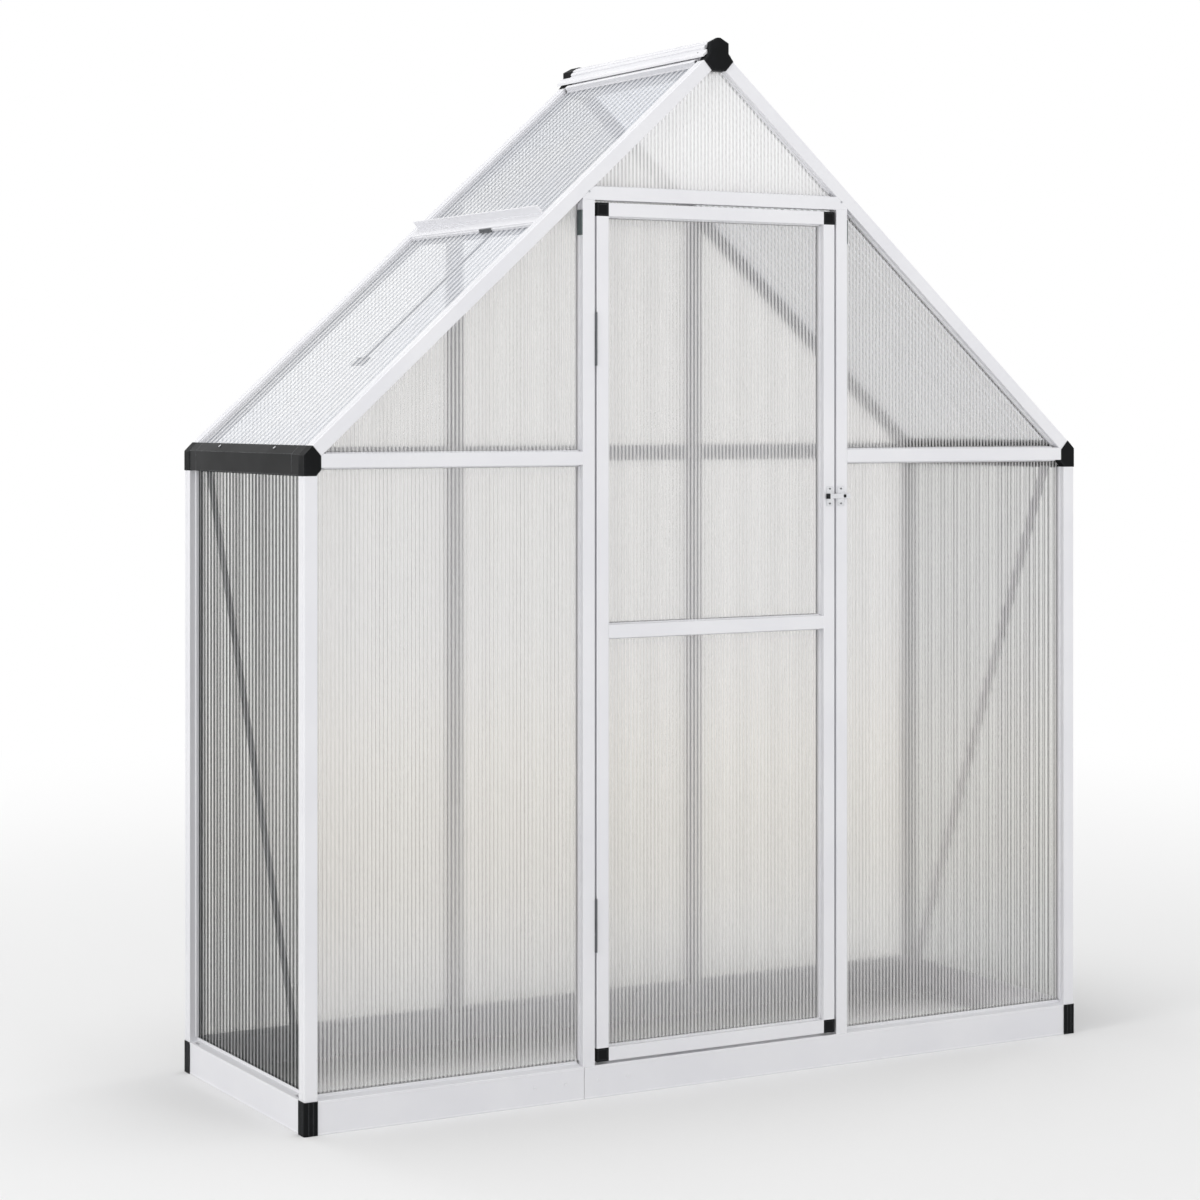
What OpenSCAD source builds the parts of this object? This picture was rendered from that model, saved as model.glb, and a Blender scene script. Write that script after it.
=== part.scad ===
// Small walk-in greenhouse: powder-coated aluminium frame, clear twin-wall sheets,
// black plastic corner joints, one outward-opening door and a roof vent.
// X runs along the door wall, Y from front to back, Z up. Origin: centre of the base, on the ground.

/* [House] */
// Width across the corner posts
house_w = 1900; // [1700:10:2200]
// Depth across the corner posts
house_d = 640; // [560:10:800]
// Underside of the eave joints
eave_h = 1290; // [1280:1:1292]
// Pitch of both roof slopes in degrees
pitch = 42; // [41:0.5:43]

/* [Frame bars] */
// Face width and depth of every frame bar
bar = 28; // [27:0.5:30]
// Wall of the bars
bar_wall = 1.8; // [1.4:0.1:2.4]
// Height of the base boards
base_h = 67; // [60:1:80]
// Underside of the eave-level rails
rail_z = 1306; // [1304:1:1308]

/* [Sheets] */
// Thickness of a twin-wall sheet
sheet_t = 4; // [3.5:0.25:4]
// Thickness of its two skins
skin = 0.5; // [0.4:0.1:0.8]
// Thickness of the ribs between the skins
rib = 0.5; // [0.4:0.1:0.8]
// Distance from rib to rib
cell = 8.8; // [6:0.1:12]
// How far the wall sheets stand back from the outer faces
wall_set = 20; // [18:0.5:20]
// How far the roof sheets lie below the outer faces
roof_set = 10; // [9:0.5:11]

/* [Door] */
// Clear width between the jambs
doorway_w = 600; // [580:5:620]
// Underside of the header over the door
header_z = 1853; // [1840:1:1856]
// Underside of the middle rail
mid_rail_z = 947; // [900:1:1000]
// Gap between the door and its frame
door_gap = 5; // [5:0.5:6]
// Height of each hinge
hinge_h = 110; // [80:2:120]
// Height of the lower end of the upper hinge
hinge_top_z = 1511; // [1400:1:1600]
// Height of the lower end of the lower hinge
hinge_low_z = 300; // [200:1:400]

/* [Latch] */
// Height of the bolt's centre line
latch_z = 1233; // [1100:1:1280]
// Length of the bolt
bolt_l = 62; // [58:1:66]
// Height of the bolt
bolt_h = 10; // [8:0.5:12]

/* [Roof vent] */
// Lower edge of the vent, measured up the slope from the eave
vent_s = 708; // [650:1:760]
// How far its rain lip stands above the roof
lip_h = 21; // [16:1:24]
// Length of the stay
stay_l = 420; // [300:10:440]

/* [Hidden] */
$fn = 48;
white = [0.90, 0.90, 0.91];
black = [0.14, 0.15, 0.16];
grey = [0.33, 0.36, 0.37];
clear = [0.84, 0.88, 0.90, 0.45];
steel = [0.76, 0.77, 0.78];

hw = house_w / 2;
hd = house_d / 2;
bay_d = house_d - 2 * bar;           // clear depth between the front and back bars
post_in = hw - bar;                  // inner side of the corner posts
jamb_in = doorway_w / 2;             // door side of the jambs
jamb_out = jamb_in + bar;            // sheet side of the jambs
rail_top = rail_z + bar;
header_top = header_z + bar;

// Roof line: the outer faces of both slopes start at (eave_x, eave_top)
rise = tan(pitch);
joint_in = post_in - 8;              // inner side of the eave joints
eave_x = joint_in + bar * sin(pitch);
eave_top = eave_h + 60;
ridge_gap = 36;                      // half width of the ridge joint between the rafters
slope_l = (eave_x - ridge_gap) / cos(pitch);
drop = bar / cos(pitch);             // rafter depth measured straight down
function roof_z(x) = eave_top + (eave_x - abs(x)) * rise;
function under_z(x) = roof_z(x) - drop;
function under_x(z) = eave_x - (z + drop - eave_top) / rise;
function s_at(x) = (joint_in - abs(x)) / cos(pitch);  // up the slope, on a rafter's underside
ridge_in = ridge_gap - bar * sin(pitch);
ridge_low = under_z(ridge_in);       // underside of the ridge
ridge_top = ridge_low + 70;
crown_r = 26;                        // the fluted crown is a half round
crown_z = ridge_top - crown_r - 2;
crown_t = 5.5;                       // wall of the crown
core_y = hd - bar + 7;               // front end of the ridge core, between the rafters' ends
crown_y = core_y + 14;               // front end of the crown
ridge_back = hd - bar - 8;           // back end of crown and core
flute = 22;                          // angle from flute to flute
flute_r = 2;
lip_over = 11;                       // how far its lips run on past the back rafters
root = roof_z(ridge_gap);            // the rafters' upper corners at the ridge
groove = 1;                          // the floor of the ridge grooves lies this far below them
lip_x = 33;
lip_r = 1.7;
shoulder = 24;                       // half width of the ridge joint at its shoulders
neck = root + 16;                    // height of the ridge joint's waist

// Glazing strips on the side of a bar: a bead outside the sheet and a ledge behind it
bead = 2.5;
ledge = 4;
ledge_t = 1.6;
slack = 0.4;                         // play between a sheet and the ledge behind it
round_r = 1.2;                       // rounding of the bars' outer corners
seat = base_h + 2;                   // bottom of the slot in the base boards
sill = 9;                            // height of the drip sill above the base boards
seam_x = -jamb_out + 3;              // where the two front boards meet, under the left jamb
seam = 1.2;                          // width of the open seam between them

proud = 1.5;                         // how far the black joints stand out sideways
bevel = 2.5;                         // bevel round the face of a black joint
joint_face = 1.5;                    // how far the body of a ridge joint stands out, below its bevel

door_l = jamb_in - door_gap;         // half width of the door
door_in = door_l - bar;              // half width between the stiles
door_z0 = base_h + door_gap + 1;
door_z1 = header_z - door_gap;
hinge_x = -jamb_in + door_gap / 2;
hinge_y = -hd - 1.5;
knuckle_r = door_gap / 2 - 0.2;
pin_r = 1.2;
leaf_t = 1.2;

plate_t = 1.2;                       // latch plates
plate_w = 16;
plate_h = 43;
bolt_t = 3;
bolt_x = jamb_out + 6 - bolt_l;      // left end of the bolt when it is shot
ear_t = 1;
play = 0.3;                          // room for the bolt in its guide

vent_top = slope_l - 4;              // upper edge of the roof sheets, under the ridge lip
hook_r = 2;                          // bead of the top bars that hooks into the ridge

// ---------- Copies and places ----------

module to_back() mirror([0, 1, 0]) children();

module to_right() mirror([1, 0, 0]) children();

module both_sides() for (side = [0, 1]) mirror([side, 0, 0]) children();

module all_corners() for (end = [0, 1]) mirror([0, end, 0]) both_sides() children();

// Stands a front bar upright with its centre line at x
module upright_at(x) translate([x, -hd, 0]) children();

// Lays a front bar along +X from x0 with its underside at z; its +X side turns down
module level_at(x0, z) translate([x0, -hd, z + bar / 2]) rotate([0, 90, 0]) children();

// Lays a bar up the front left slope from the eave; its +X side turns down and inwards
module slope_at() {
    translate([-eave_x, -hd, eave_top])
        rotate([0, 90 - pitch, 0])
            translate([bar / 2, 0, 0])
                children();
}

// Extrudes a section drawn in (x, z) along Y, centred on y = 0
module along_y(len) translate([0, len / 2, 0]) rotate([90, 0, 0]) linear_extrude(len) children();

// Moves a section drawn in (up the slope, outwards) onto the left slope
module on_slope() translate([-eave_x, eave_top]) rotate(pitch) children();

// Plate in the plane of the front sheets with an outline drawn in (x, z)
module front_plate(y, t) translate([0, y + t, 0]) rotate([90, 0, 0]) linear_extrude(t) children();

// ---------- Profiles ----------

module rounded_square(w, h, r) {
    translate([r, 0]) square([w - 2 * r, h]);
    translate([0, r]) square([w, h - 2 * r]);
    for (x = [r, w - r], y = [r, h - r]) translate([x, y]) circle(r);
}

// Hollow square bar: outer face on y = 0, centred on x, with a shadow groove on each side
module bar_section() {
    difference() {
        translate([-bar / 2, 0]) rounded_square(bar, bar, round_r);
        translate([-bar / 2 + bar_wall, bar_wall]) square(bar - 2 * bar_wall);
        for (x = [-bar / 2, bar / 2])
            translate([x - bar_wall / 2, wall_set - 10]) square([bar_wall, 2.4]);
    }
}

// Bead that stops the sheet from outside, on the side face x = 0
module bead_section(set) {
    polygon([
        [-0.5, set - 7], [bead - 1, set - 7], [bead, set - 6], [bead, set], [-0.5, set]
    ]);
}

// Ledge behind the sheet, on the side face x = 0
module ledge_section(set) {
    translate([-0.5, set + sheet_t + slack]) square([ledge + 0.5, ledge_t]);
}

// Glazing strips on the +X side of a bar along Z between a and b. Each end is pulled in by
// a number of strip widths, to clear the strips of the bars that cross there.
module strips(a, b, set = wall_set, pull_a = 1, pull_b = 1) {
    translate([bar / 2, 0, a + pull_a * bead])
        linear_extrude(b - a - (pull_a + pull_b) * bead) bead_section(set);
    translate([bar / 2, 0, a + pull_a * ledge])
        linear_extrude(b - a - (pull_a + pull_b) * ledge) ledge_section(set);
}

module tube(len) linear_extrude(len) bar_section();

// Twin-wall sheet seen from the end of its ribs: w wide, from y = 0 to y = sheet_t
module twin_section(w) {
    cells = floor((w - rib) / cell);
    edge = (w - rib - cells * cell) / 2;
    difference() {
        square([w, sheet_t]);
        for (i = [0 : cells - 1])
            translate([edge + rib + i * cell, skin]) square([cell - rib, sheet_t - 2 * skin]);
    }
}

// ---------- Base ----------

// Hollow board with a sloping drip sill and a slot for the sheet; outer face on x = 0
module board_section() {
    behind = wall_set + sheet_t + slack;
    difference() {
        polygon([
            [0.8, 0], [0, 0.8], [0, 3], [0.5, 3.5], [0.5, base_h - 4], [0, base_h - 3.5],
            [0, base_h - 1], [1, base_h], [wall_set - 2.5, base_h + 4],
            [wall_set - 2.5, base_h + sill - 1], [wall_set - 1.5, base_h + sill],
            [wall_set, base_h + sill], [wall_set, seat], [behind, seat],
            [behind, base_h + sill + 3], [behind + ledge_t, base_h + sill + 3],
            [behind + ledge_t, base_h], [bar, base_h - 2], [bar, 0]
        ]);
        translate([2.3, 2]) square([bar - 4.3, base_h - 7]);
    }
}

// Front board along +X from x0 to x1
module front_board(x0, x1) {
    translate([x0, -hd, 0]) rotate([90, 0, 90]) linear_extrude(x1 - x0) board_section();
}

// Room for an upright between x0 and x1: the sill stops there and sweeps down to the board
module sill_gap(x0, x1) {
    sweep = 8;
    front_plate(-hd - 1, bar + 2)
        polygon([
            [x0, base_h], [x1, base_h], [x1 + sweep, base_h + sill + 4],
            [x0 - sweep, base_h + sill + 4]
        ]);
}

module base_front_left() {
    color(white)
        difference() {
            front_board(-post_in, seam_x - seam / 2);
            sill_gap(-jamb_out, jamb_out);
        }
}

module base_front_right() {
    color(white)
        difference() {
            front_board(seam_x + seam / 2, post_in);
            sill_gap(-jamb_out - 3, jamb_out);
        }
}

module base_back() {
    color(white)
        to_back()
            difference() {
                front_board(-post_in, post_in);
                both_sides() sill_gap(-jamb_out, -jamb_in);
            }
}

// Side board with a weep slot near each end of its sill
module side_board() {
    slot_l = 20;
    difference() {
        translate([-hw, 0, 0]) along_y(bay_d) board_section();
        for (y = [-bay_d / 2 + 14, bay_d / 2 - 14 - slot_l])
            translate([-hw + 6, y, base_h - 6]) cube([7, slot_l, 12]);
    }
}

module base_sides() color(white) both_sides() side_board();

// Black foot joint with a rounded outer corner, hollow from below
module base_joint() {
    side = bar + proud;
    translate([-hw - proud, -hd - proud, 0])
        difference() {
            linear_extrude(base_h)
                difference() {
                    union() {
                        translate([3, 0]) square([side - 3, side]);
                        translate([0, 3]) square([side, side - 3]);
                        translate([3, 3]) circle(3);
                    }
                    for (k = [10, 20])
                        translate([k, 0]) circle(0.7);
                    for (k = [10, 20])
                        translate([0, k]) circle(0.7);
                }
            translate([4, 4, -1]) cube([side - 7, side - 7, base_h - 3]);
        }
}

module base_joints() color(black) all_corners() base_joint();

// ---------- Posts, jambs and rails ----------

module corner_post() {
    run = eave_h - base_h;
    translate([0, 0, base_h]) {
        upright_at(-hw + bar / 2) {
            tube(run);
            strips(sill, run, wall_set, 1, 0);
        }
        translate([-hw, -hd + bar / 2, 0])
            rotate([0, 0, -90])
                mirror([1, 0, 0])
                    strips(sill, run, wall_set, 1, 0);
    }
}

module posts_front() color(white) both_sides() corner_post();

module posts_back() to_back() posts_front();

module jamb() {
    color(white)
        upright_at(-jamb_in - bar / 2) {
            translate([0, 0, base_h]) tube(header_z - base_h);
            mirror([1, 0, 0]) {
                strips(base_h + sill, rail_z);
                strips(rail_top, header_z - 2 * bead, wall_set, 1, 0.4);
            }
        }
}

module jamb_left() jamb();

module jamb_right() to_right() jamb();

// Plate that ties a jamb to the rafter above it, stepped over the glazing bead
module jamb_bracket() {
    translate([-jamb_out, -hd, header_z - 73])
        linear_extrude(52)
            polygon([
                [0, 2], [-3, 2], [-3, wall_set - 0.2], [-bead - 0.1, wall_set - 0.2],
                [-bead - 0.1, wall_set - 7.2], [0, wall_set - 7.2]
            ]);
}

module jamb_brackets() color(grey) both_sides() jamb_bracket();

// Everything below the rafters' undersides
module under_roof() {
    along_y(house_d + 20)
        polygon([
            [-eave_x, 0], [-eave_x, under_z(eave_x)], [0, under_z(0)],
            [eave_x, under_z(eave_x)], [eave_x, 0]
        ]);
}

module header() {
    half = under_x(header_top);
    color(white) {
        intersection() {
            level_at(-jamb_out, header_z) tube(2 * jamb_out);
            under_roof();
        }
        level_at(-half, header_z) mirror([1, 0, 0]) strips(0, 2 * half, wall_set, 4, 4);
    }
}

// Rail between x0 and x1 with strips below and above
module wall_rail(x0, x1, pull) {
    intersection() {
        level_at(x0, rail_z) tube(x1 - x0);
        under_roof();
    }
    level_at(x0, rail_z) {
        strips(0, x1 - x0, wall_set, pull, 1);
        mirror([1, 0, 0]) strips(0, x1 - x0, wall_set, 2 * pull, 1);
    }
}

module rail_front_left() color(white) wall_rail(-joint_in, -jamb_out, 3);

module rail_front_right() to_right() rail_front_left();

module rails_back() {
    color(white)
        to_back() {
            both_sides() wall_rail(-joint_in, -jamb_out, 3);
            level_at(-jamb_in, rail_z) {
                tube(doorway_w);
                strips(0, doorway_w);
                mirror([1, 0, 0]) strips(0, doorway_w);
            }
        }
}

// Back upright with its top cut to the slope
module back_upright() {
    intersection() {
        upright_at(-jamb_in - bar / 2) translate([0, 0, base_h]) tube(under_z(jamb_in) - base_h);
        under_roof();
    }
    upright_at(-jamb_in - bar / 2) {
        for (side = [0, 1]) mirror([side, 0, 0]) strips(base_h + sill + 3, rail_z);
        strips(rail_top, under_z(jamb_in), wall_set, 1, 0.6);
        mirror([1, 0, 0]) strips(rail_top, under_z(jamb_out) - 2 * bead, wall_set, 1, 0.8);
    }
}

module back_uprights() color(white) to_back() both_sides() back_upright();

// ---------- Rafters and eaves ----------

// Rafter on the front left slope; breaks lists the runs of its roof strips
module rafter(breaks) {
    color(white)
        slope_at() {
            tube(slope_l);
            strips(s_at(under_x(rail_top)), s_at(jamb_out), wall_set, 4, 2.6);
            strips(s_at(jamb_in), slope_l, wall_set, 4.5, 0.5);
            translate([-bar / 2, bar / 2, 0])
                rotate([0, 0, 90])
                    mirror([0, 1, 0])
                        for (run = breaks) strips(run[0], run[1], roof_set);
        }
}

plain_run = [[0, vent_top]];
vent_runs = [[0, vent_s - bar], [vent_s + 3, vent_top]];

module rafter_front_left() rafter(vent_runs);

module rafter_front_right() to_right() rafter(plain_run);

module rafters_back() {
    to_back() {
        rafter(vent_runs);
        to_right() rafter(plain_run);
    }
}

// Outline of the left eave seen from the front: out grows its outer side, low is its underside
module eave_outline(out, low) {
    polygon([
        [-hw - out, low], [-post_in - 3, low], [-joint_in, low + 12],
        [-joint_in, under_z(joint_in)], [-eave_x, eave_top],
        [-hw - out, eave_top - (hw + out - eave_x)]
    ]);
}

// Black corner joint of post, rail, rafter and eave beam, bevelled round its face
module eave_joint() {
    hull() {
        front_plate(-hd, bar - 1.5) eave_outline(proud, eave_h);
        front_plate(-hd - 1, 0.1)
            intersection() {
                eave_outline(proud - bevel, eave_h + bevel);
                translate([-hw, 0]) square([hw - joint_in - bevel, eave_top - bevel]);
            }
    }
    front_plate(-hd + bar - 1.6, 1.6)
        intersection() {
            eave_outline(0, eave_h + 2);
            translate([-hw, 0]) square([hw, eave_top - 2.5]);
        }
}

module eave_joints() color(black) all_corners() eave_joint();

// Hollow eave beam with strips for the wall sheet below and the roof sheet above, and a
// groove round it near each end
module eave_beam() {
    low = eave_h + 2;
    collar = 36;
    difference() {
        along_y(bay_d)
            difference() {
                union() {
                    eave_outline(0, low);
                    translate([-post_in - 4, low]) square([post_in + 4 - joint_in, 14]);
                }
                translate([-hw + 2, low + 2]) square([bar - 8, eave_top - low - 23]);
                translate([-eave_x, low + 12]) square([eave_x - joint_in - 2, eave_top - low - 36]);
            }
        for (side = [-1, 1])
            translate([0, side * (bay_d / 2 - collar), 0])
                along_y(1.2)
                    difference() {
                        eave_outline(1, low);
                        translate([0.8, -0.8]) eave_outline(0, low);
                    }
    }
    along_y(bay_d - 2 * bead - 0.4) {
        translate([-hw, low]) rotate(-90) bead_section(wall_set);
        on_slope() mirror([0, 1]) bead_section(roof_set);
    }
    along_y(bay_d - 2 * ledge - 0.4) {
        translate([-hw, low]) rotate(-90) ledge_section(wall_set);
        on_slope() mirror([0, 1]) ledge_section(roof_set);
    }
}

module eave_beams() color(black) both_sides() eave_beam();

// Flat bar inside the left wall: screwed to the base board in front, butting on the eave
// beam behind, with a pressed rib down its middle
module wall_brace() {
    top = eave_h + 2;
    lean = 22.4;                         // from upright, in degrees
    length = 1400;
    rib_w = 6;
    intersection() {
        translate([-post_in, 0, (base_h + top) / 2])
            rotate([-lean, 0, 0])
                translate([0, -bar / 2, -length / 2])
                    difference() {
                        cube([2.5, bar, length]);
                        translate([1.5, (bar - rib_w) / 2, -1]) cube([2, rib_w, length + 2]);
                    }
        translate([-post_in - 1, -bay_d / 2 + 2, 30]) cube([10, bay_d - 4, top - 30]);
    }
}

module wall_braces() color(white) for (turn = [0, 180]) rotate([0, 0, turn]) wall_brace();

// ---------- Ridge ----------

// Upper part of the ridge joint seen from the front, drawn in by g
module ridge_cap_outline(g) {
    polygon([
        [g / 3 - 3.5, ridge_top - g], [3.5 - g / 3, ridge_top - g],
        [shoulder - g, ridge_top - 11 - g / 2], [shoulder - g, neck], [0, neck - 12],
        [g - shoulder, neck], [g - shoulder, ridge_top - 11 - g / 2]
    ]);
}

// Its lower part, a wedge between the ends of the rafters
module ridge_wedge_outline(g) {
    polygon([
        [shoulder - g, neck], [ridge_gap - 1.3 * g, root], [ridge_in - g / 3, ridge_low + g],
        [g / 3 - ridge_in, ridge_low + g], [1.3 * g - ridge_gap, root], [g - shoulder, neck]
    ]);
}

// Front joint: it fills the end of the ridge back to y = -cap_y, and its neck lies in the crown
module ridge_joint(cap_y) {
    face = -hd - joint_face;
    front_plate(face, -face - cap_y) ridge_cap_outline(0);
    front_plate(face, -face - min(cap_y, core_y)) ridge_wedge_outline(0);
    hull() {
        front_plate(face - 0.1, 0.2) ridge_cap_outline(0.01);
        front_plate(face - joint_face, 0.1) ridge_cap_outline(bevel);
    }
    hull() {
        front_plate(face - 0.1, 0.2) ridge_wedge_outline(0.01);
        front_plate(face - joint_face, 0.1) ridge_wedge_outline(bevel);
    }
}

module ridge_joints() {
    color(black) {
        ridge_joint(crown_y);
        front_plate(-crown_y - 1, crown_y + 1 - core_y)
            intersection() {
                ridge_cap_outline(0);
                translate([0, crown_z]) circle(crown_r - crown_t - play);
            }
        to_back() ridge_joint(ridge_back);
    }
}

// Lip on the right of the ridge: it flares out from the crown and turns down over the top bar
module ridge_lip() {
    polygon([
        [crown_r - 4, crown_z + 3], [crown_r - 0.3, crown_z + 3], [crown_r + 1, crown_z - 2],
        [lip_x + lip_r, crown_z - 9], [lip_x + lip_r, crown_z - 13], [lip_x, crown_z - 13],
        [lip_x - 2, crown_z - 11], [crown_r - 3, crown_z - 5], [crown_r - 4, crown_z - 5]
    ]);
    translate([lip_x, crown_z - 9]) circle(lip_r);
}

module crown_flutes() {
    for (a = [13 : flute : 167])
        translate([crown_r * cos(a), crown_z + crown_r * sin(a)]) circle(flute_r);
}

// Fluted crown, the core between the rafters, and a groove on each side for the top bars
module ridge_section() {
    difference() {
        union() {
            intersection() {
                translate([0, crown_z]) circle(crown_r);
                translate([-crown_r, crown_z - 5]) square([2 * crown_r, crown_r + 6]);
            }
            translate([4 - crown_r, ridge_low + 14]) square([2 * crown_r - 8, crown_z - ridge_low - 14]);
            polygon([
                [8 - ridge_gap, root - groove], [ridge_gap - 8, root - groove],
                [ridge_gap - 5 * rise, root - 5], [ridge_in, ridge_low],
                [-ridge_in, ridge_low], [5 * rise - ridge_gap, root - 5]
            ]);
            for (side = [0, 1]) mirror([side, 0]) ridge_lip();
        }
        translate([0, crown_z]) circle(crown_r - crown_t);
        translate([-12, ridge_low + 5]) square([24, crown_z - ridge_low - 12]);
        crown_flutes();
    }
}

// The crown alone, where it reaches over the neck of the front joint
module crown_section() {
    difference() {
        intersection() {
            translate([0, crown_z]) circle(crown_r);
            translate([-crown_r, neck + play]) square([2 * crown_r, crown_r + 6]);
        }
        translate([0, crown_z]) circle(crown_r - crown_t);
        crown_flutes();
    }
}

// A lip beside a ridge joint, cut to the joint's outline
module free_lip() {
    difference() {
        ridge_lip();
        ridge_cap_outline(0);
        ridge_wedge_outline(0);
    }
}

module ridge_beam() {
    notch_z = neck + 1;
    color(white) {
        front_plate(-core_y, core_y + ridge_back) ridge_section();
        difference() {
            front_plate(-crown_y, crown_y - core_y + 1) crown_section();
            for (x = [-crown_r - 1, crown_r - 10])
                translate([x, -crown_y - 3, notch_z])
                    rotate([90, 0, 90])
                        linear_extrude(11)
                            rounded_square(crown_y - core_y + 1, 19, 3);
        }
        both_sides() {
            front_plate(-crown_y, crown_y - core_y + 1) free_lip();
            front_plate(ridge_back - 1, hd + lip_over - ridge_back + 1) free_lip();
        }
    }
}

// ---------- Roof bars and vent ----------

module roof_cross_bar() {
    color(white) {
        along_y(bay_d)
            on_slope()
                translate([vent_s - bar, -bar])
                    difference() {
                        rounded_square(bar, bar, round_r);
                        translate([bar_wall, bar_wall]) square(bar - 2 * bar_wall);
                    }
        along_y(bay_d - 2 * bead - 0.4)
            on_slope() translate([vent_s - bar, 0]) rotate(180) bead_section(roof_set);
        along_y(bay_d - 2 * ledge - 0.4)
            on_slope() translate([vent_s - bar, 0]) rotate(180) ledge_section(roof_set);
    }
}

// Two lips that grip the edge of the sheet, opening to +X, with the web on x = 0
module grip_section(depth) {
    for (h = [-roof_set, -roof_set - sheet_t - ledge_t])
        translate([0, h]) square([h == -roof_set ? 2.5 : depth, ledge_t]);
    translate([-2.5, -roof_set - sheet_t - ledge_t]) square([2.5, sheet_t + 2 * ledge_t]);
}

// Rain lip along the lower edge of the vent: it stands on the cross bar and grips the sheet
module rain_lip() {
    along_y(bay_d)
        on_slope()
            translate([vent_s, 0]) {
                translate([-2, 0]) square([3, lip_h - 1.5]);
                translate([-0.5, lip_h - 1.5]) circle(1.5);
                translate([-6, 0]) square([7, 2]);
            }
    along_y(bay_d - 2 * ledge - 2)
        on_slope()
            translate([vent_s + 3, 0]) {
                translate([-2.5, -roof_set]) square([2.5, roof_set + 1]);
                translate([-3, 0]) square([3, 1.5]);
                grip_section(ledge);
            }
}

// Bar along the upper edge of a roof sheet: its arm reaches in under the ridge lip and stands
// with a round bead on the floor of the groove
module top_bar() {
    x = -ridge_gap;
    z = root - groove;
    along_y(2 * ridge_back - 2) {
        on_slope()
            translate([vent_top, 0])
                mirror([1, 0]) {
                    translate([-2.5, -roof_set]) square([2.5, roof_set + 2.6]);
                    grip_section(ledge);
                }
        polygon([
            [x - 3.6, z + 1.2], [x + 1.4, z + 5.8], [x + 9.2, z + 5.8], [x + 9.2, z + hook_r],
            [x + 7.2, z + hook_r], [x + 7.2, z + 4], [x + 2.1, z + 4], [x - 2.4, z + 0.2]
        ]);
        translate([x + 8.2, z + hook_r]) circle(hook_r);
    }
}

module vent_bars() {
    color(white) {
        rain_lip();
        top_bar();
    }
}

module top_bar_right() color(white) to_right() top_bar();

// Twin-wall sheet on the left slope between s0 and s1, with its ribs running down the slope
module slope_sheet(s0, s1) {
    translate([-eave_x, 0, eave_top])
        rotate([0, -pitch, 0])
            translate([s0, -bay_d / 2, -roof_set - sheet_t])
                rotate([90, 0, 90])
                    linear_extrude(s1 - s0)
                        twin_section(bay_d);
}

module sheet_roof_left() color(clear) slope_sheet(0.2, vent_s - bar);

module vent_sheet() color(clear) slope_sheet(vent_s + 3.2, vent_top);

module sheet_roof_right() color(clear) to_right() slope_sheet(0.2, vent_top);

// Flat stay under the lower sheet: it hangs from the cross bar's ledge, and the channel at
// its free end lies against the sheet
module vent_stay() {
    foot = vent_s - bar - stay_l;
    seat_d = slack + ledge_t + 3;
    under = -roof_set - sheet_t - seat_d;
    color(steel)
        translate([0, -80, 0]) {
            along_y(14) on_slope() translate([foot, under]) square([stay_l, 3]);
            along_y(60)
                on_slope()
                    translate([foot, under])
                        difference() {
                            square([22, seat_d]);
                            translate([3, 2.6]) square([16, 3]);
                        }
        }
}

// ---------- Wall sheets ----------

// Twin-wall sheet in the front wall, from x0 to x1 and z0 to z1, with upright ribs
module wall_sheet(x0, x1, z0, z1) {
    translate([x0, -hd + wall_set, z0]) linear_extrude(z1 - z0) twin_section(x1 - x0);
}

// The same sheet cut to an outline drawn in (x, z)
module cut_sheet(x0, x1, z0, z1) {
    intersection() {
        wall_sheet(x0, x1, z0, z1);
        front_plate(-hd + wall_set - 1, sheet_t + 2) children();
    }
}

// Lower front left bay, notched round the eave joint
module bay_lower() {
    difference() {
        wall_sheet(-post_in, -jamb_out, seat, rail_z);
        front_plate(-hd + wall_set - 1, sheet_t + 2) eave_outline(proud, eave_h);
    }
}

// Three-cornered sheet between the rail, the jamb and the rafter
module bay_upper() {
    left = -under_x(rail_top);
    cut_sheet(left, -jamb_out, rail_top, under_z(jamb_out))
        polygon([[left, rail_top], [-jamb_out, rail_top], [-jamb_out, under_z(jamb_out)]]);
}

module sheets_front_left() {
    color(clear) {
        bay_lower();
        bay_upper();
    }
}

module sheets_front_right() to_right() sheets_front_left();

// Five-cornered sheet under the ridge
module gable_sheet(low, half) {
    cut_sheet(-half, half, low, ridge_low)
        polygon([
            [-half, low], [half, low], [half, under_z(half)], [ridge_in, ridge_low],
            [-ridge_in, ridge_low], [-half, under_z(half)]
        ]);
}

module sheet_gable() color(clear) gable_sheet(header_top, under_x(header_top));

module sheets_back() {
    to_back() {
        sheets_front_left();
        sheets_front_right();
        color(clear) {
            wall_sheet(-jamb_in, jamb_in, seat, rail_z);
            gable_sheet(rail_top, jamb_in);
        }
    }
}

module sheet_left() {
    color(clear)
        translate([-hw + wall_set, bay_d / 2, seat])
            rotate([0, 0, -90])
                linear_extrude(eave_h + 2 - seat)
                    twin_section(bay_d);
}

module sheet_right() to_right() sheet_left();

// ---------- Door ----------

module door_stiles() {
    color(white)
        both_sides()
            upright_at(-door_l + bar / 2) {
                translate([0, 0, door_z0 + bar]) tube(door_z1 - door_z0 - 2 * bar);
                strips(door_z0 + bar, mid_rail_z);
                strips(mid_rail_z + bar, door_z1 - bar);
            }
}

module door_rails() {
    color(white) {
        for (z = [door_z0, mid_rail_z, door_z1 - bar]) level_at(-door_in, z) tube(2 * door_in);
        for (z = [mid_rail_z, door_z1 - bar]) level_at(-door_in, z) strips(0, 2 * door_in);
        for (z = [door_z0, mid_rail_z])
            level_at(-door_in, z) mirror([1, 0, 0]) strips(0, 2 * door_in);
    }
}

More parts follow.
